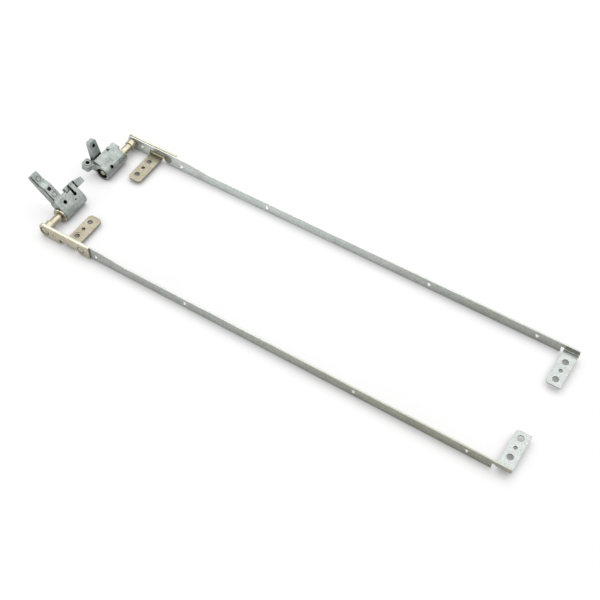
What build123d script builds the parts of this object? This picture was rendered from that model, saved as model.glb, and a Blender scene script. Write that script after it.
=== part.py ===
from build123d import *
import os
from math import cos, radians, sin

os.makedirs("parts", exist_ok=True)

# Where the pair lies. X runs along the rails from shaft to end tab, Y from right hinge to left, Z up.
half_span = 31.1  # middle of the pair to each bracket's outer face
shaft_x = -99.25  # shaft axis along X
shaft_z = 3.5  # shaft axis above the table

# Sheets. Places along the wall and heights on it are taken from the shaft axis.
bracket_gauge = 0.8
rail_gauge = 0.6
bend_inside = 0.3  # inside radius of both folds
head_left = -2.5
head_top_corner = 1.8
head_low_corner = 2.4
head_low = -3.3  # lower edge of both sheets beside the shaft
bracket_top = 3.5
bracket_end = 23.4
bracket_low = -2.9
rail_head_top = 3.2
taper_start = 29.2
taper_end = 41.2
strip_top = 1.8
strip_low = -3.3
slope_run = 1.3  # sloping step where a lower edge rises over the bracket's tab
rail_over_tab = 0.85  # rail's lower edge above that tab
rail_over_start = 9.6
rail_over_end = 16.5

# Fold-over tabs. Reach is taken inward from the bracket's outer face.
bracket_tab_under = -2.1
bracket_tab_start = 9.5
bracket_tab_end = 15.9
bracket_tab_reach = 18.3
bracket_tab_corner = 1.1
bracket_tab_holes = 2.6  # from the tab's start
bracket_tab_screws = (6.1, 14.75)
bracket_tab_pin = 10.4
fold_relief = 0.5  # notch each side of the bracket tab's fold
end_tab_under = -1.2
end_tab_start = 207.7
end_tab_width = 6.3  # from there to the rail's end
end_tab_reach = 18.9
end_tab_corner = 1.6
end_tab_holes = 3.0  # from the tab's start
end_tab_screws = (6.9, 15.9)
end_tab_pin = 11.4
end_relief = 1.4  # notch beside the end tab's fold
end_relief_top = -0.1
bracket_screw_radius = 1.15
end_screw_radius = 1.35
pin_radius = 0.8
spot_radius = 1.8  # pressed ring round the bracket tab's inner screw
spot_depth = 0.12

# Holes in the wall
rail_hole_radius = 0.9
rail_holes = (26.2, 70.8, 148.6, 196.2)
rail_hole_height = -0.8
wall_hole = (5.0, 0.1)
fold_hole = (8.2, -1.5)  # round relief at the near end of the bracket's fold
fold_hole_radius = 0.75
fold_edge_low = -2.4  # bracket's lower edge beside that relief

# Rivet through both sheets
rivet_at = (19.0, -0.2)
rivet_radius = 1.6
rivet_bevel = 0.2
button_radius = 1.9
button_height = 0.3

# Shaft. Places are taken inward from the bracket's outer face.
seat_radius = 1.7
seat_flats = 2.6  # across the two flats that stop it turning
swage_radius = 2.1
swage_top = 0.25
swage_depth = 0.45
collar_radius = 2.3
collar_end = 4.4
neck_radius = 1.8
flange_radius = 3.35
flange_start = 9.8
journal_radius = 1.7
tail_radius = 1.2
tail_start = 22.0
shaft_end = 23.3
edge_break = 0.2

# Barrel and what runs in it
mouth = 10.7  # barrel's mouth from the bracket's outer face
barrel_length = 12.9
barrel_radius = 3.5
bore_radius = 2.6
clip_radius = 2.45
clip_width = 2.2
clip_pitch = 2.45
clip_count = 4
clip_first = 0.7  # mouth to first clip
clip_opening = 1.2
toe_width = 1.0
toe_reach = 3.0
washer_radius = 2.3
washer_thickness = 0.5

# Fits
mouth_play = 0.1  # flange to mouth
run_fit = 0.02  # clip round journal
seat_fit = 0.02  # pieces held in the sheets or on the shaft
key_fit = 0.05  # toe in keyway
cut_over = 1.0  # how far the bore's cutter runs past the barrel's ends

# Right housing. Reach runs along the deck away from the shaft, rise is square to it.
right_tilt = 42.5
right_deck_reach = 5.9
right_under = -0.6
arm_start = 0.4  # arm's near side from the mouth
arm_width = 4.35
arm_thick_reach = 12.9
arm_ramp_reach = 15.1
arm_reach = 20.4
arm_thick_rise = 3.2
arm_thin_rise = 1.9
arm_under = -1.2
arm_tip_under = -0.9
arm_hole_reach = 11.4
rabbet_start = 6.6  # step along the arm's upper near edge
rabbet_width = 0.45
rabbet_depth = 0.6
cast_hole_radius = 0.85
deck_hole = (3.8, 2.9)  # distance from the mouth, reach
deck_hole_depth = 1.4
bar_start = 8.0
bar_waist = 13.2
bar_end = 17.45
bar_near = 3.5
bar_far = 7.2
bar_tip_far = 6.1
bar_low = 0.4
bar_rise = 3.3
ledge_near = 5.0  # sunk corner between the deck and the bar's inner end
ledge_drop = 1.0
slot_depth = 1.2
long_slot = (9.8, 2.6)
long_slot_width = 1.1
pocket_radius = 0.8  # round inner end of the long slot
short_slot = (12.9, 3.2)
short_slot_width = 0.7
cast_round = 0.4  # rounding of the castings' outer corners
tip_round = 0.7
mark_radius = 1.25  # ring-shaped ejector marks
mark_inside = 0.9
mark_depth = 0.12
arm_marks = (8.3, 17.2)
dot_radius = 0.35
dot_depth = 0.4
right_dot = (8.3, 0.6)

# Left housing, the same way
left_tilt = 10.0
left_deck_reach = 5.5
left_under = -1.2
lobe_at = (6.8, 14.2)  # reach, distance from the mouth
lobe_size = 4.2
lobe_corner = 1.1
lobe_low = 0.2
lobe_rise = 3.3
rim_radius = 1.6  # raised ring round the lobe's hole
rim_height = 0.3
lobe_hole_radius = 0.9
lobe_neck = 3.0
pad_rise = 4.4  # raised pad along the deck and barrel
pad_front = 1.0
pad_start = 0.3
pad_inset = 0.5  # from the deck's far and tail edges
pad_flank = (-2.2, 3.0)  # reach and rise of its sloping flank's lower edge
pad_root = 2.0
pad_cut_start = 5.0  # from here to the tail the flank is cut back
pad_cut_depth = 0.8
lip = 1.0  # past the mouth, over the flange
lip_root = 0.6  # how far the lip runs into the pad
lip_reach = 1.4
lip_under = 3.45
lip_front = (3.2, 2.1)
lip_foot = 3.95
lip_low = -0.2
post_at = (4.3, 3.4)
post_radius = 0.6
post_height = 1.8
stand_lean = 14.0  # from upright, away from the rail
stand_thick = 2.4
stand_foot = 3.6  # front of its foot from the shaft axis
stand_place = 8.6  # its middle from the mouth
stand_right = 2.1  # from its middle
stand_foot_left = 3.2
stand_top_left = 1.6
stand_height = 12.7
stand_hole_drop = 2.2
flank_hole_turn = 40.0
flank_hole_place = 8.9

# Planes the sketches stand on
hinge_origin = (shaft_x, -half_span, shaft_z)
bracket_face = Plane(origin=hinge_origin, x_dir=(1, 0, 0), z_dir=(0, -1, 0))
rail_face = bracket_face.offset(-bracket_gauge)
cross_section = Plane(origin=hinge_origin, x_dir=(0, 1, 0), z_dir=(1, 0, 0))
tab_grid = Plane(origin=hinge_origin, x_dir=(1, 0, 0), z_dir=(0, 0, 1))
shaft_axis = Axis(hinge_origin, (0, 1, 0))

right_reach = (-cos(radians(right_tilt)), 0, sin(radians(right_tilt)))
right_up = (sin(radians(right_tilt)), 0, cos(radians(right_tilt)))
right_origin = (shaft_x, mouth - half_span, shaft_z)
right_side = Plane(origin=right_origin, x_dir=right_reach, z_dir=(0, 1, 0))
right_deck = Plane(origin=right_origin, x_dir=(0, 1, 0), z_dir=right_up)

left_reach = (-cos(radians(left_tilt)), 0, sin(radians(left_tilt)))
left_up = (sin(radians(left_tilt)), 0, cos(radians(left_tilt)))
left_origin = (shaft_x, half_span - mouth, shaft_z)
left_side = Plane(origin=left_origin, x_dir=left_reach, z_dir=(0, 1, 0))
left_deck = Plane(origin=left_origin, x_dir=left_reach, z_dir=left_up)
pad_slope = Plane(
    origin=left_deck.from_local_coords((pad_front, 0, pad_rise)),
    x_dir=(0, -1, 0),
    z_dir=Vector(left_reach) * (pad_front - pad_flank[0]) + Vector(left_up) * (pad_rise - pad_flank[1]),
)
stand_face = Plane(
    origin=(shaft_x - stand_foot, half_span - mouth - stand_place, shaft_z),
    x_dir=(0, 1, 0),
    z_dir=(cos(radians(stand_lean)), 0, sin(radians(stand_lean))),
)
flank = Plane(
    origin=(shaft_x, half_span - mouth - flank_hole_place, shaft_z),
    x_dir=(0, 1, 0),
    z_dir=(cos(radians(flank_hole_turn)), 0, sin(radians(flank_hole_turn))),
)

wall_depth = bracket_gauge + rail_gauge
bracket_tab_top = bracket_tab_under + bracket_gauge
bracket_hole_line = bracket_tab_start + bracket_tab_holes
end_tab_top = end_tab_under + rail_gauge
end_hole_line = end_tab_start + end_tab_holes
strip_end = end_tab_start + end_tab_width

with BuildPart() as right_rail:
    with BuildSketch(rail_face) as outline:
        with BuildLine():
            Polyline(
                (head_left, rail_head_top),
                (taper_start, rail_head_top),
                (taper_end, strip_top),
                (strip_end, strip_top),
                (strip_end, end_tab_top + bend_inside),
                (end_tab_start, end_tab_top + bend_inside),
                (end_tab_start, end_relief_top),
                (end_tab_start - end_relief, end_relief_top),
                (end_tab_start - end_relief, strip_low),
                (rail_over_end + slope_run, strip_low),
                (rail_over_end, rail_over_tab),
                (rail_over_start, rail_over_tab),
                (rail_over_start - slope_run, head_low),
                (head_left, head_low),
                close=True,
            )
        make_face()
        fillet(outline.vertices().sort_by_distance((head_left, rail_head_top))[0], head_top_corner)
        fillet(outline.vertices().sort_by_distance((head_left, head_low))[0], head_low_corner)
        with Locations(*[(place, rail_hole_height) for place in rail_holes], wall_hole):
            Circle(rail_hole_radius, mode=Mode.SUBTRACT)
        with Locations(rivet_at):
            Circle(rivet_radius, mode=Mode.SUBTRACT)
    extrude(amount=-rail_gauge)
    with BuildSketch(rail_face):
        Circle(seat_radius)
        Rectangle(2 * seat_radius, seat_flats, mode=Mode.INTERSECT)
    extrude(amount=-rail_gauge, mode=Mode.SUBTRACT)
    with BuildSketch(cross_section.offset(end_tab_start)) as fold:
        with BuildLine():
            Polyline(
                (bracket_gauge, strip_top),
                (bracket_gauge, end_tab_under),
                (end_tab_reach, end_tab_under),
                (end_tab_reach, end_tab_top),
                (wall_depth, end_tab_top),
                (wall_depth, strip_top),
                close=True,
            )
        make_face()
        outer_bend = fold.vertices().sort_by_distance((bracket_gauge, end_tab_under))[0]
        fillet(outer_bend, bend_inside + rail_gauge)
        fillet(fold.vertices().sort_by_distance((wall_depth, end_tab_top))[0], bend_inside)
    extrude(amount=strip_end - end_tab_start)
    with BuildSketch(tab_grid.offset(end_tab_top)):
        with Locations(*[(end_hole_line, reach) for reach in end_tab_screws]):
            Circle(end_screw_radius)
        with Locations((end_hole_line, end_tab_pin)):
            Circle(pin_radius)
    extrude(amount=-rail_gauge, mode=Mode.SUBTRACT)
    tab_corners = right_rail.edges().filter_by(Axis.Z).group_by(Axis.Y)[-1].sort_by(Axis.X)
    fillet(tab_corners[0], end_tab_corner)
right_rail.part.label = "right_rail"

with BuildPart() as right_bracket:
    with BuildSketch(bracket_face) as outline:
        with BuildLine():
            Polyline(
                (head_left, bracket_top),
                (bracket_end, bracket_top),
                (bracket_end, bracket_low),
                (bracket_tab_end + fold_relief + slope_run, bracket_low),
                (bracket_tab_end + fold_relief, bracket_tab_top + bend_inside),
                (bracket_tab_start - fold_relief, bracket_tab_top + bend_inside),
                (bracket_tab_start - fold_relief, fold_edge_low),
                (bracket_tab_start - 2 * slope_run, head_low),
                (head_left, head_low),
                close=True,
            )
        make_face()
        fillet(outline.vertices().sort_by_distance((head_left, bracket_top))[0], head_top_corner)
        fillet(outline.vertices().sort_by_distance((head_left, head_low))[0], head_low_corner)
        with Locations(wall_hole):
            Circle(rail_hole_radius, mode=Mode.SUBTRACT)
        with Locations(fold_hole):
            Circle(fold_hole_radius, mode=Mode.SUBTRACT)
        with Locations(rivet_at):
            Circle(rivet_radius, mode=Mode.SUBTRACT)
    extrude(amount=-bracket_gauge)
    with BuildSketch(bracket_face):
        Circle(seat_radius)
        Rectangle(2 * seat_radius, seat_flats, mode=Mode.INTERSECT)
    extrude(amount=-bracket_gauge, mode=Mode.SUBTRACT)
    with BuildSketch(cross_section):
        with BuildLine():
            Polyline(
                (0, 0),
                (0, swage_radius + seat_fit),
                (swage_depth, seat_radius + seat_fit),
                (swage_depth, 0),
                close=True,
            )
        make_face()
    revolve(axis=shaft_axis, mode=Mode.SUBTRACT)
    with BuildSketch(cross_section.offset(bracket_tab_start)) as fold:
        with BuildLine():
            Polyline(
                (0, bracket_top),
                (0, bracket_tab_under),
                (bracket_tab_reach, bracket_tab_under),
                (bracket_tab_reach, bracket_tab_top),
                (bracket_gauge, bracket_tab_top),
                (bracket_gauge, bracket_top),
                close=True,
            )
        make_face()
        outer_bend = fold.vertices().sort_by_distance((0, bracket_tab_under))[0]
        fillet(outer_bend, bend_inside + bracket_gauge)
        fillet(fold.vertices().sort_by_distance((bracket_gauge, bracket_tab_top))[0], bend_inside)
    extrude(amount=bracket_tab_end - bracket_tab_start)
    with BuildSketch(tab_grid.offset(bracket_tab_top)):
        with Locations((bracket_hole_line, bracket_tab_screws[0])):
            Circle(spot_radius)
    extrude(amount=-spot_depth, mode=Mode.SUBTRACT)
    with BuildSketch(tab_grid.offset(bracket_tab_top)):
        with Locations(*[(bracket_hole_line, reach) for reach in bracket_tab_screws]):
            Circle(bracket_screw_radius)
        with Locations((bracket_hole_line, bracket_tab_pin)):
            Circle(pin_radius)
    extrude(amount=-bracket_gauge, mode=Mode.SUBTRACT)
    tab_corners = right_bracket.edges().filter_by(Axis.Z).group_by(Axis.Y)[-1]
    chamfer(tab_corners, bracket_tab_corner)
right_bracket.part.label = "right_bracket"

with BuildPart() as right_rivet:
    with BuildSketch(bracket_face):
        with Locations(rivet_at):
            Circle(rivet_radius - seat_fit)
    extrude(amount=-wall_depth)
    chamfer(right_rivet.edges().filter_by(GeomType.CIRCLE).sort_by(Axis.Y)[0], rivet_bevel)
    with BuildSketch(bracket_face.offset(-wall_depth)):
        with Locations(rivet_at):
            Circle(button_radius)
    extrude(amount=-button_height)
    fillet(right_rivet.edges().filter_by(GeomType.CIRCLE).sort_by(Axis.Y)[-1], edge_break)
right_rivet.part.label = "right_rivet"

with BuildPart() as right_shaft:
    with BuildSketch(cross_section):
        with BuildLine():
            Polyline(
                (wall_depth, 0),
                (wall_depth, collar_radius),
                (collar_end - edge_break, collar_radius),
                (collar_end, collar_radius - edge_break),
                (collar_end, neck_radius),
                (flange_start, neck_radius),
                (flange_start, flange_radius - edge_break),
                (flange_start + edge_break, flange_radius),
                (mouth - mouth_play, flange_radius),
                (mouth - mouth_play, journal_radius),
                (tail_start, journal_radius),
                (tail_start, tail_radius),
                (shaft_end - edge_break, tail_radius),
                (shaft_end, tail_radius - edge_break),
                (shaft_end, 0),
                close=True,
            )
        make_face()
        with BuildLine():
            Polyline(
                (swage_top, 0),
                (swage_top, swage_radius - edge_break),
                (swage_depth, seat_radius),
                (swage_depth, 0),
                close=True,
            )
        make_face()
    revolve(axis=shaft_axis)
    with BuildSketch(bracket_face.offset(-swage_depth)):
        Circle(seat_radius - seat_fit)
        Rectangle(2 * seat_radius, seat_flats - 2 * seat_fit, mode=Mode.INTERSECT)
    extrude(amount=swage_depth - wall_depth)
right_shaft.part.label = "right_shaft"

with BuildPart() as right_washer:
    with BuildSketch(bracket_face.offset(-tail_start)):
        Circle(washer_radius)
        Circle(tail_radius + seat_fit, mode=Mode.SUBTRACT)
    extrude(amount=-washer_thickness)
right_washer.part.label = "right_washer"

with BuildPart() as right_housing:
    with BuildSketch(right_side) as profile:
        Circle(barrel_radius)
        with BuildLine():
            Polyline(
                (0, barrel_radius),
                (right_deck_reach, barrel_radius),
                (right_deck_reach, right_under),
                (0, right_under),
                close=True,
            )
        make_face()
        fillet(profile.vertices().group_by(Axis.X)[-1], cast_round)
    extrude(amount=barrel_length)
    with BuildSketch(right_side.offset(arm_start)) as profile:
        with BuildLine():
            Polyline(
                (0, arm_under),
                (arm_thick_reach, arm_under),
                (arm_reach, arm_tip_under),
                (arm_reach, arm_thin_rise),
                (arm_ramp_reach, arm_thin_rise),
                (arm_thick_reach, arm_thick_rise),
                (0, arm_thick_rise),
                close=True,
            )
        make_face()
        fillet(profile.vertices().group_by(Axis.X)[-1], cast_round)
    extrude(amount=arm_width)
    tip = right_housing.edges().filter_by(Axis(right_origin, right_up))
    fillet(tip.sort_by(Axis(right_origin, right_reach))[-2:], tip_round)
    with BuildSketch(right_side.offset(arm_start + rabbet_width)):
        with BuildLine():
            Polyline(
                (rabbet_start, arm_thick_rise + cut_over),
                (rabbet_start, arm_thick_rise - rabbet_depth),
                (arm_thick_reach, arm_thick_rise - rabbet_depth),
                (arm_ramp_reach, arm_thin_rise - rabbet_depth),
                (arm_reach + cut_over, arm_thin_rise - rabbet_depth),
                (arm_reach + cut_over, arm_thick_rise + cut_over),
                close=True,
            )
        make_face()
    extrude(amount=-rabbet_width - cut_over, mode=Mode.SUBTRACT)
    with BuildSketch(right_deck.offset(bar_low)) as outline:
        with BuildLine():
            Polyline(
                (bar_start, bar_far),
                (bar_waist, bar_far),
                (bar_end, bar_tip_far),
                (bar_end, bar_near),
                (bar_start, bar_near),
                close=True,
            )
        make_face()
        fillet(outline.vertices().group_by(Axis.X)[-1], cast_round)
    extrude(amount=bar_rise - bar_low)
    with BuildSketch(right_deck.offset(barrel_radius - ledge_drop)):
        with BuildLine():
            Polyline(
                (bar_start - cut_over, ledge_near),
                (bar_start - cut_over, bar_far + cut_over),
                (long_slot[0], bar_far + cut_over),
                (long_slot[0], ledge_near),
                close=True,
            )
        make_face()
    extrude(amount=barrel_radius, mode=Mode.SUBTRACT)
    with BuildSketch(right_deck.offset(barrel_radius)):
        for (place, near), width in ((long_slot, long_slot_width), (short_slot, short_slot_width)):
            with Locations((place, bar_far)):
                Rectangle(width, 2 * (bar_far - near))
        with Locations(long_slot):
            Circle(pocket_radius)
    extrude(amount=-slot_depth, mode=Mode.SUBTRACT)
    arm_middle = arm_start + arm_width / 2
    with BuildSketch(right_deck.offset(barrel_radius)):
        with Locations((arm_middle, arm_hole_reach)):
            Circle(cast_hole_radius)
    extrude(amount=-2 * barrel_radius, mode=Mode.SUBTRACT)
    with BuildSketch(right_deck.offset(barrel_radius)):
        with Locations(deck_hole):
            Circle(cast_hole_radius)
    extrude(amount=-deck_hole_depth, mode=Mode.SUBTRACT)
    with BuildSketch(right_deck.offset(barrel_radius)):
        with Locations(right_dot):
            Circle(dot_radius)
    extrude(amount=-dot_depth, mode=Mode.SUBTRACT)
    for rise, reach in zip((arm_thick_rise, arm_thin_rise), arm_marks):
        with BuildSketch(right_deck.offset(rise)):
            with Locations((arm_middle, reach)):
                Circle(mark_radius)
                Circle(mark_inside, mode=Mode.SUBTRACT)
        extrude(amount=-mark_depth, mode=Mode.SUBTRACT)
    with BuildSketch(right_side.offset(-cut_over)):
        Circle(bore_radius)
        with Locations(((toe_reach + key_fit) / 2, 0)):
            Rectangle(toe_reach + key_fit, toe_width + 2 * key_fit)
    extrude(amount=barrel_length + 2 * cut_over, mode=Mode.SUBTRACT)
right_housing.part.label = "right_housing"

with BuildPart() as left_housing:
    pad_far = left_deck_reach - pad_inset
    with BuildSketch(left_side.offset(-pad_start)):
        with BuildLine():
            Polyline(
                (pad_front, pad_rise),
                (pad_far, pad_rise),
                (pad_far, pad_root),
                (pad_flank[0], pad_root),
                pad_flank,
                close=True,
            )
        make_face()
    extrude(amount=pad_start + pad_inset - barrel_length)
    with BuildSketch(pad_slope):
        with BuildLine():
            Polyline(
                (pad_cut_start, 0),
                (barrel_length, -pad_cut_depth),
                (barrel_length, cut_over),
                (pad_cut_start, cut_over),
                close=True,
            )
        make_face()
    extrude(amount=2 * barrel_radius, both=True, mode=Mode.SUBTRACT)
    with BuildSketch(left_side) as profile:
        Circle(barrel_radius)
        with BuildLine():
            Polyline(
                (0, barrel_radius),
                (left_deck_reach, barrel_radius),
                (left_deck_reach, left_under),
                (0, left_under),
                close=True,
            )
        make_face()
        fillet(profile.vertices().group_by(Axis.X)[-1], cast_round)
    extrude(amount=-barrel_length)
    with BuildSketch(left_deck.offset(lobe_low)):
        with Locations(lobe_at):
            RectangleRounded(lobe_size, lobe_size, lobe_corner)
        with BuildLine():
            Line((left_deck_reach - lobe_neck / 2, barrel_length - lobe_neck / 2), lobe_at)
        trace(line_width=lobe_neck)
    extrude(amount=lobe_rise - lobe_low)
    with BuildSketch(left_deck.offset(lobe_rise)):
        with Locations(lobe_at):
            Circle(rim_radius)
    extrude(amount=rim_height)
    with BuildSketch(left_deck.offset(lobe_rise + rim_height)):
        with Locations(lobe_at):
            Circle(lobe_hole_radius)
    extrude(amount=lobe_low - lobe_rise - rim_height, mode=Mode.SUBTRACT)
    with BuildSketch(left_side.offset(lip)):
        with BuildLine():
            Polyline(
                (lip_reach, pad_rise),
                (pad_far, pad_rise),
                (pad_far, lip_low),
                (lip_foot, lip_low),
                lip_front,
                (lip_front[0], lip_under),
                (lip_reach, lip_under),
                close=True,
            )
        make_face()
    extrude(amount=-lip - lip_root)
    with BuildSketch(left_deck.offset(barrel_radius)):
        with Locations(post_at):
            Circle(post_radius)
    extrude(amount=post_height)
    with BuildSketch(stand_face) as outline:
        with BuildLine():
            Polyline(
                (-stand_foot_left, 0),
                (stand_right, 0),
                (stand_right, stand_height),
                (-stand_top_left, stand_height),
                close=True,
            )
        make_face()
        fillet(outline.vertices().group_by(Axis.Y)[-1], tip_round)
    extrude(amount=-stand_thick)
    with BuildSketch(stand_face):
        with Locations((0, stand_height - stand_hole_drop)):
            Circle(cast_hole_radius)
    extrude(amount=-stand_thick, mode=Mode.SUBTRACT)
    with BuildSketch(flank):
        Circle(cast_hole_radius)
    extrude(amount=2 * barrel_radius, mode=Mode.SUBTRACT)
    with BuildSketch(left_side.offset(cut_over)):
        Circle(bore_radius)
        with Locations(((toe_reach + key_fit) / 2, 0)):
            Rectangle(toe_reach + key_fit, toe_width + 2 * key_fit)
    extrude(amount=-barrel_length - 2 * cut_over, mode=Mode.SUBTRACT)
left_housing.part.label = "left_housing"

right_pieces = [right_rail, right_bracket, right_rivet, right_shaft, right_washer]
for piece in right_pieces:
    with BuildPart() as twin:
        mirror(piece.part, about=Plane.XZ)
    twin.part.label = piece.part.label.replace("right", "left")
    export_step(piece.part, f"parts/{piece.part.label}.step")
    export_step(twin.part, f"parts/{twin.part.label}.step")

for side, plane, inward in (("right", right_side, 1), ("left", left_side, -1)):
    for number in range(clip_count):
        start = clip_first + number * clip_pitch
        with BuildPart() as clip:
            with BuildSketch(plane.offset(inward * start)):
                Circle(clip_radius)
                with Locations((toe_reach / 2, 0)):
                    Rectangle(toe_reach, toe_width)
                Circle(journal_radius + run_fit, mode=Mode.SUBTRACT)
                with Locations((-clip_radius, 0)):
                    Rectangle(clip_radius, clip_opening, mode=Mode.SUBTRACT)
            extrude(amount=inward * clip_width)
        clip.part.label = f"{side}_clip_{number + 1}"
        export_step(clip.part, f"parts/{clip.part.label}.step")

export_step(right_housing.part, "parts/right_housing.step")
export_step(left_housing.part, "parts/left_housing.step")
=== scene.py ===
from math import cos, radians, sin

import bpy
from mathutils import Matrix, Vector

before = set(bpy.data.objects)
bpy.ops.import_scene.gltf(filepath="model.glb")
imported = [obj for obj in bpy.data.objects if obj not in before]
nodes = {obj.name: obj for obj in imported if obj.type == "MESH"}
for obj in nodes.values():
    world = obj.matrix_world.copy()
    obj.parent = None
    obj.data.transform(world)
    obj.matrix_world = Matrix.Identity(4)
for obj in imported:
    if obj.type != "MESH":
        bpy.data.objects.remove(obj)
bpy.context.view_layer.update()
MM = 0.001

# Places on the hinges: X and Z of axes along Y, and distances from the middle of the pair
SHAFT_AXIS = (-99.25 * MM, 3.5 * MM)
RIVET_AXIS = (-80.25 * MM, 3.3 * MM)
# Painted shade: dark rings where shade falls in the grooves round the swaged shaft end and the
# rivet head
SWAGE_SHADE_RING = (*SHAFT_AXIS, 2.0 * MM, 0.9 * MM, 0.3)  # axis, radius, width and tone
RIVET_SHADE_RING = (*RIVET_AXIS, 1.6 * MM, 0.8 * MM, 0.5)
RAIL_WALL = 29.5 * MM
BRACKET_WALL = 30.1 * MM
OUTER_SIDE = (30.2 * MM, 30.4 * MM)  # the painted shade rings show only past here
FOLD_BLEND = 0.4 * MM  # width of the change from the tab's painted shade to the wall
RAIL_LIGHT_FADE = (-10 * MM, 75 * MM)  # stretch along X in which a rail's painted light fades


# Materials
def shade(red, green, blue):
    return (red, green, blue, 1.0)


def grey(value):
    return shade(value, value, value)


BLACK = grey(0.0)
WHITE = grey(1.0)


class Build:
    """A material's node tree, with short calls to add and link its nodes."""

    def __init__(self, name):
        self.material = bpy.data.materials.new(name)
        self.material.use_nodes = True
        self.tree = self.material.node_tree
        self.tree.nodes.clear()
        self.output = self.add("ShaderNodeOutputMaterial")

    def add(self, kind, **settings):
        node = self.tree.nodes.new(kind)
        for key, value in settings.items():
            setattr(node, key, value)
        return node

    def link(self, source, target):
        self.tree.links.new(source, target)

    def place(self, scale):
        """Object coordinates times scale, in turns per metre."""
        coordinates = self.add("ShaderNodeTexCoord")
        mapping = self.add("ShaderNodeMapping")
        mapping.inputs["Scale"].default_value = scale
        self.link(coordinates.outputs["Object"], mapping.inputs["Vector"])
        return mapping.outputs["Vector"]

    def noise(self, scale, detail=3.0, roughness=0.55):
        node = self.add("ShaderNodeTexNoise")
        node.inputs["Scale"].default_value = 1.0
        node.inputs["Detail"].default_value = detail
        node.inputs["Roughness"].default_value = roughness
        self.link(self.place(scale), node.inputs["Vector"])
        return node.outputs["Fac"]

    def ramp(self, value, low, high, start=0.3, end=0.7):
        """A colour that goes from low to high as the value goes from start to end."""
        node = self.add("ShaderNodeValToRGB")
        node.color_ramp.elements[0].position = start
        node.color_ramp.elements[1].position = end
        node.color_ramp.elements[0].color = low
        node.color_ramp.elements[1].color = high
        self.link(value, node.inputs["Fac"])
        return node.outputs["Color"]

    def spread(self, value, low, high, start=0.3, end=0.7):
        """A number that goes from low to high as the value goes from start to end."""
        node = self.add("ShaderNodeMapRange")
        node.inputs["From Min"].default_value = start
        node.inputs["From Max"].default_value = end
        node.inputs["To Min"].default_value = low
        node.inputs["To Max"].default_value = high
        self.link(value, node.inputs["Value"])
        return node.outputs["Result"]

    def multiply(self, first, second):
        node = self.add("ShaderNodeMix", data_type="RGBA", blend_type="MULTIPLY")
        node.inputs["Factor"].default_value = 1.0
        self.link(first, node.inputs["A"])
        self.link(second, node.inputs["B"])
        return node.outputs["Result"]

    def soft_edges(self, radius):
        node = self.add("ShaderNodeBevel", samples=6)
        node.inputs["Radius"].default_value = radius
        return node.outputs["Normal"]

    def painted_crevice_shade(self, distance, dark, closed_to, open_from):
        """Painted shade: dark where the surface is closed in and white where it is open, as shade
        falls in holes, slots and inner corners.
        """
        node = self.add("ShaderNodeAmbientOcclusion", samples=8)
        node.inputs["Distance"].default_value = distance
        return self.ramp(node.outputs["AO"], grey(dark), WHITE, closed_to, open_from)

    def math(self, operation, first, second=0.0):
        node = self.add("ShaderNodeMath", operation=operation)
        self.link(first, node.inputs[0])
        if isinstance(second, float):
            node.inputs[1].default_value = second
        else:
            self.link(second, node.inputs[1])
        return node.outputs["Value"]

    def axes(self):
        coordinates = self.add("ShaderNodeTexCoord")
        parts = self.add("ShaderNodeSeparateXYZ")
        self.link(coordinates.outputs["Object"], parts.inputs["Vector"])
        return parts.outputs["X"], parts.outputs["Y"], parts.outputs["Z"]

    def painted_light_tones(self, wall, tab_shade, first_light, last_light):
        """Painted shade on the tab, and from the wall outward painted light that fades along the
        rail.
        """
        x, y, _ = self.axes()
        along = self.ramp(self.spread(x, 0.0, 1.0, *RAIL_LIGHT_FADE), first_light, last_light, 0.0, 1.0)
        on_wall = self.spread(self.math("ABSOLUTE", y), 0.0, 1.0, wall - FOLD_BLEND, wall)
        mix = self.add("ShaderNodeMix", data_type="RGBA")
        self.link(on_wall, mix.inputs["Factor"])
        mix.inputs["A"].default_value = tab_shade
        self.link(along, mix.inputs["B"])
        return mix.outputs["Result"]

    def ring(self, center_x, center_z, radius, width, tone):
        """Painted shade: a dark ring round an axis along Y on the sheets' outer side, as shade
        falls in a groove, white elsewhere.
        """
        x, y, z = self.axes()
        across = self.math("POWER", self.math("SUBTRACT", x, center_x), 2.0)
        upward = self.math("POWER", self.math("SUBTRACT", z, center_z), 2.0)
        distance = self.math("SQRT", self.math("ADD", across, upward))
        off_ring = self.math("ABSOLUTE", self.math("SUBTRACT", distance, radius))
        band = self.spread(off_ring, tone, 1.0, width / 4, width / 2)
        inner_side = self.spread(self.math("ABSOLUTE", y), 1.0, 0.0, *OUTER_SIDE)
        return self.ramp(self.math("MAXIMUM", band, inner_side), BLACK, WHITE, 0.0, 1.0)

    def bump(self, height, strength, distance, normal):
        node = self.add("ShaderNodeBump")
        node.inputs["Strength"].default_value = strength
        node.inputs["Distance"].default_value = distance
        self.link(height, node.inputs["Height"])
        self.link(normal, node.inputs["Normal"])
        return node.outputs["Normal"]

    def finish(self, color, painted_crevice_shade, roughness, normal, metallic):
        shader = self.add("ShaderNodeBsdfPrincipled")
        shader.inputs["Metallic"].default_value = metallic
        # The painted crevice shade darkens the colour and dims the specular
        self.link(self.multiply(color, painted_crevice_shade), shader.inputs["Base Color"])
        self.link(self.spread(painted_crevice_shade, 0.0, 0.5, 0.0, 1.0), shader.inputs["Specular IOR Level"])
        self.link(roughness, shader.inputs["Roughness"])
        self.link(normal, shader.inputs["Normal"])
        self.link(shader.outputs["BSDF"], self.output.inputs["Surface"])
        return self.material


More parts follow.
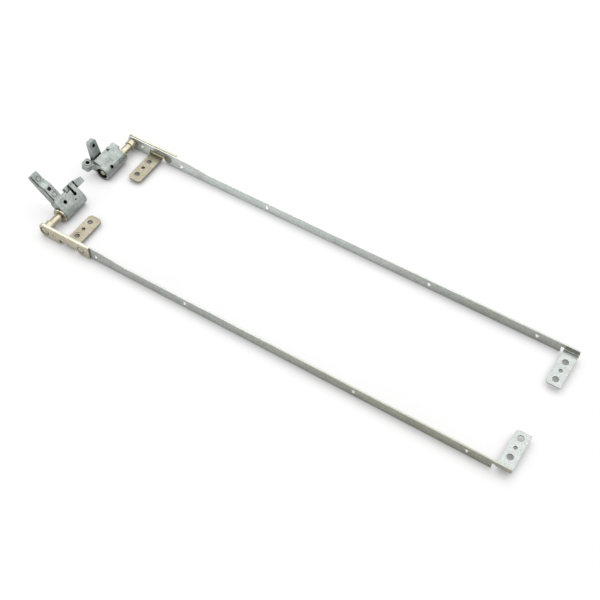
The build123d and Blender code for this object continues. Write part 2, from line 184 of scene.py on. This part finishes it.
def plated_sheet(name, dark, light, rough, edge, wall, tab_shade, first_light, last_light):
    """Plated steel sheet: clouds, speckle and grain along the rail, with painted shade on the
    tab, painted light fading along the wall, painted shade rings and painted shade in crevices.
    """
    build = Build(name)
    clouds = build.noise((140, 320, 320))
    speckle = build.noise((1300, 1700, 1700), detail=4.0, roughness=0.65)
    grain = build.noise((260, 4200, 4200), detail=4.0)
    color = build.ramp(clouds, dark, light)
    for layer in (
        build.ramp(grain, grey(0.86), WHITE),
        build.ramp(speckle, shade(0.76, 0.76, 0.74), WHITE, start=0.36, end=0.58),
        # painted shade on the tab and painted light fading along the wall
        build.painted_light_tones(wall, tab_shade, first_light, last_light),
        # painted shade round the swaged shaft end and the rivet head
        build.ring(*SWAGE_SHADE_RING),
        build.ring(*RIVET_SHADE_RING),
    ):
        color = build.multiply(color, layer)
    # Painted shade in the sheet's holes, slots and inner corners
    painted_crevice_shade = build.painted_crevice_shade(0.7 * MM, dark=0.2, closed_to=0.2, open_from=0.85)
    roughness = build.spread(grain, rough - 0.06, rough + 0.08)
    normal = build.bump(grain, 0.12, 0.03 * MM, build.soft_edges(edge))
    return build.finish(color, painted_crevice_shade, roughness, normal, metallic=0.9)


def turned_steel(name, dark, light, metallic, rough, edge):
    """Turned bar: faint tool rings square to the shaft's axis."""
    build = Build(name)
    rings = build.noise((300, 5200, 300), detail=2.0)
    clouds = build.noise((420, 420, 420))
    color = build.ramp(clouds, dark, light)
    # tool rings, and painted shade round the swaged shaft end
    for layer in (build.ramp(rings, grey(0.88), WHITE), build.ring(*SWAGE_SHADE_RING)):
        color = build.multiply(color, layer)
    # Painted shade in the bar's recesses and inner corners
    painted_crevice_shade = build.painted_crevice_shade(0.9 * MM, dark=0.15, closed_to=0.2, open_from=0.8)
    roughness = build.spread(rings, rough - 0.05, rough + 0.07)
    normal = build.bump(rings, 0.15, 0.03 * MM, build.soft_edges(edge))
    return build.finish(color, painted_crevice_shade, roughness, normal, metallic)


def raw_casting(name, dark, light, metallic, rough, edge):
    """Raw zinc casting: soft mottling, fine speckle and rounded corners."""
    build = Build(name)
    mottle = build.noise((380, 380, 380), detail=4.0)
    speckle = build.noise((1700, 1700, 1700), detail=5.0, roughness=0.7)
    color = build.multiply(
        build.ramp(mottle, dark, light),
        build.ramp(speckle, shade(0.68, 0.69, 0.67), WHITE, start=0.36, end=0.6),
    )
    # Painted shade that turns the casting's holes, slots and inner corners dark
    painted_crevice_shade = build.painted_crevice_shade(2.8 * MM, dark=0.03, closed_to=0.38, open_from=0.86)
    roughness = build.spread(mottle, rough - 0.07, rough + 0.09)
    normal = build.bump(speckle, 0.25, 0.06 * MM, build.soft_edges(edge))
    return build.finish(color, painted_crevice_shade, roughness, normal, metallic)


zinc = {
    "dark": shade(0.66, 0.705, 0.675),
    "light": shade(0.77, 0.82, 0.79),
    "rough": 0.33,
    "edge": 0.12 * MM,
    "wall": RAIL_WALL,
    # painted shade on the horizontal tabs
    "tab_shade": grey(0.56),
}
gold = {
    "dark": shade(0.55, 0.505, 0.395),
    "light": shade(0.69, 0.64, 0.515),
    "rough": 0.32,
    "edge": 0.12 * MM,
    "wall": BRACKET_WALL,
    # painted shade on the horizontal tabs
    "tab_shade": shade(0.53, 0.525, 0.505),
}
# The two rails are lit and shaded copies of one zinc plating: painted light that differs between
# the rails and fades along each
left_rail_zinc = plated_sheet(
    "left_rail_zinc",
    **zinc,
    first_light=WHITE,
    last_light=shade(0.62, 0.61, 0.58),
)
right_rail_zinc = plated_sheet(
    "right_rail_zinc",
    **zinc,
    first_light=shade(0.72, 0.71, 0.69),
    last_light=shade(0.56, 0.53, 0.46),
)
bracket_gold = plated_sheet("bracket_gold", **gold, first_light=WHITE, last_light=WHITE)
shaft_gold = turned_steel(
    "shaft_gold",
    dark=shade(0.37, 0.335, 0.245),
    light=shade(0.48, 0.445, 0.345),
    metallic=1.0,
    rough=0.22,
    edge=0.1 * MM,
)
inner_steel = turned_steel(
    "inner_steel",
    dark=shade(0.04, 0.04, 0.038),
    light=shade(0.08, 0.08, 0.076),
    metallic=0.6,
    rough=0.4,
    edge=0.1 * MM,
)
casting_zinc = raw_casting(
    "casting_zinc",
    dark=shade(0.255, 0.285, 0.27),
    light=shade(0.49, 0.53, 0.505),
    metallic=0.5,
    rough=0.36,
    edge=0.25 * MM,
)

# A node's finish goes by its whole name, or else by its kind, the word after left or right
finishes = {
    "left_rail": left_rail_zinc,
    "right_rail": right_rail_zinc,
    "bracket": bracket_gold,
    "rivet": bracket_gold,
    "shaft": shaft_gold,
    "washer": inner_steel,
    "clip": inner_steel,
    "housing": casting_zinc,
}
for name, node in nodes.items():
    kind = name.split("_")[1]
    node.data.materials.clear()
    node.data.materials.append(finishes[name if name in finishes else kind])


# Floor
def seen_rays(tree):
    """1 for rays of the camera and rays mirrored or seen through, 0 for rays that carry light."""
    path = tree.nodes.new("ShaderNodeLightPath")
    seen = path.outputs["Is Camera Ray"]
    for kind in ("Is Glossy Ray", "Is Transmission Ray"):
        either = tree.nodes.new("ShaderNodeMath")
        either.operation = "MAXIMUM"
        tree.links.new(seen, either.inputs[0])
        tree.links.new(path.outputs[kind], either.inputs[1])
        seen = either.outputs["Value"]
    return seen


def floor_material():
    """Pale paper that shows as white to the eye and in reflections, keeps the lamps' shadow, and
    has a painted contact shadow where its glow fades near the object.
    """
    build = Build("white_table")
    clouds = build.noise((30, 30, 30))
    paper = build.add("ShaderNodeBsdfDiffuse")
    build.link(build.ramp(clouds, grey(0.51), grey(0.53)), paper.inputs["Color"])
    # Painted contact shadow: the glow fades where the floor is closed in beside and under the
    # object
    near = build.add("ShaderNodeAmbientOcclusion", samples=8)
    near.inputs["Distance"].default_value = 5 * MM
    open_floor = build.spread(near.outputs["AO"], 0.0, 0.5, 0.15, 0.92)
    glow = build.add("ShaderNodeEmission")
    glow.inputs["Color"].default_value = WHITE
    strength = build.math("MULTIPLY", seen_rays(build.tree), open_floor)
    build.link(strength, glow.inputs["Strength"])
    both = build.add("ShaderNodeAddShader")
    build.link(paper.outputs["BSDF"], both.inputs[0])
    build.link(glow.outputs["Emission"], both.inputs[1])
    build.link(both.outputs["Shader"], build.output.inputs["Surface"])
    return build.material


bpy.ops.mesh.primitive_plane_add(size=6.0, location=(0, 0, 0))
floor = bpy.context.object
floor.name = "table"
floor.data.materials.append(floor_material())

# Light: a room that is seen as white and lights at half that, and two soft panels
world = bpy.data.worlds.new("room")
world.use_nodes = True
bpy.context.scene.world = world
room = world.node_tree
sky = room.nodes["Background"]
sky.inputs["Color"].default_value = WHITE
sky_strength = room.nodes.new("ShaderNodeMapRange")
sky_strength.inputs["To Min"].default_value = 0.5
sky_strength.inputs["To Max"].default_value = 1.0
room.links.new(seen_rays(room), sky_strength.inputs["Value"])
room.links.new(sky_strength.outputs["Result"], sky.inputs["Strength"])


def panel(name, place, target, width, depth, power):
    light = bpy.data.lights.new(name, "AREA")
    light.shape = "RECTANGLE"
    light.size = width
    light.size_y = depth
    light.energy = power
    lamp = bpy.data.objects.new(name, light)
    bpy.context.collection.objects.link(lamp)
    lamp.location = place
    aim = Vector(target) - Vector(place)
    lamp.rotation_euler = aim.to_track_quat("-Z", "Y").to_euler()


panel("top_panel", (-0.05, 0.62, 1.38), (0, 0, 0), width=2.9, depth=1.5, power=20.0)
panel("front_panel", (-0.4, -0.5, 0.14), (-0.05, 0, 0), width=0.5, depth=0.25, power=1.2)

# Camera at the photograph's angle, fitted to its holes and corners
camera_place = (0.15381, -0.23416, 0.36389)
azimuth, elevation = radians(32.12), radians(53.09)
focal_pixels, picture_width, sensor_width = 1134.0, 600.0, 36.0
lens = bpy.data.cameras.new("photo_camera")
lens.sensor_width = sensor_width
lens.lens = focal_pixels / picture_width * sensor_width
lens.clip_start = 0.01
camera = bpy.data.objects.new("photo_camera", lens)
bpy.context.collection.objects.link(camera)
level = cos(elevation)
ahead = Vector((-sin(azimuth) * level, cos(azimuth) * level, -sin(elevation)))
right = ahead.cross(Vector((0, 0, 1))).normalized()
up = right.cross(ahead)
turn = Matrix((right, up, -ahead)).transposed()
camera.matrix_world = Matrix.Translation(camera_place) @ turn.to_4x4()
bpy.context.scene.camera = camera

bpy.context.scene.view_settings.view_transform = "Standard"
